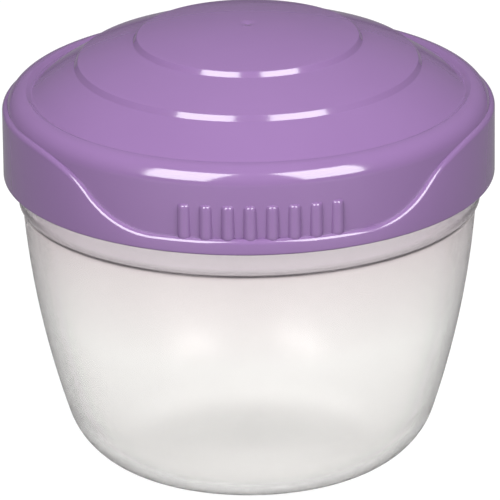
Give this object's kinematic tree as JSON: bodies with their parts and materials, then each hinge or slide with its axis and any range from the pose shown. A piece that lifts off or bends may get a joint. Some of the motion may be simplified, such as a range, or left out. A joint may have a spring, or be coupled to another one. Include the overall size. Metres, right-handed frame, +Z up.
{
  "type": "yogurt container",
  "caption": "Round screw-top yogurt pot: a translucent bowl with a necked rim, a stepped domed lid with ribbed grip scoops that unscrews, and a soft sealing ring",
  "frame": {"origin": "middle of the foot, on the surface the pot stands on", "axes": "+Z up along the pot's axis of revolution; the lid's two grip scoops face -Y (the pictured front) and +Y when the lid is closed"},
  "size_m": [0.08, 0.08, 0.0741],
  "materials": {
    "clear_plastic": "translucent, smooth",
    "lid_plastic": "satin gloss",
    "seal_rubber": "matte silicone"
  },
  "bodies": {
    "pot": {"pot": "clear_plastic"},
    "seal": {"seal": "seal_rubber"},
    "lid": {"lid": "lid_plastic"}
  },
  "joints": [
    {"name": "lid_rise", "type": "slide", "parent": "pot", "child": "seal", "axis": [0, 0, 1], "range_m": [0, 0.012]},
    {"name": "lid_turn", "type": "hinge", "parent": "seal", "child": "lid", "pos_m": [0, 0, 0.0601], "axis": [0, 0, 1], "range_deg": [0, 360]}
  ],
  "couplings": [
    {"joint": "lid_rise", "follows": "lid_turn", "m_per_rad": 0.0019099}
  ]
}
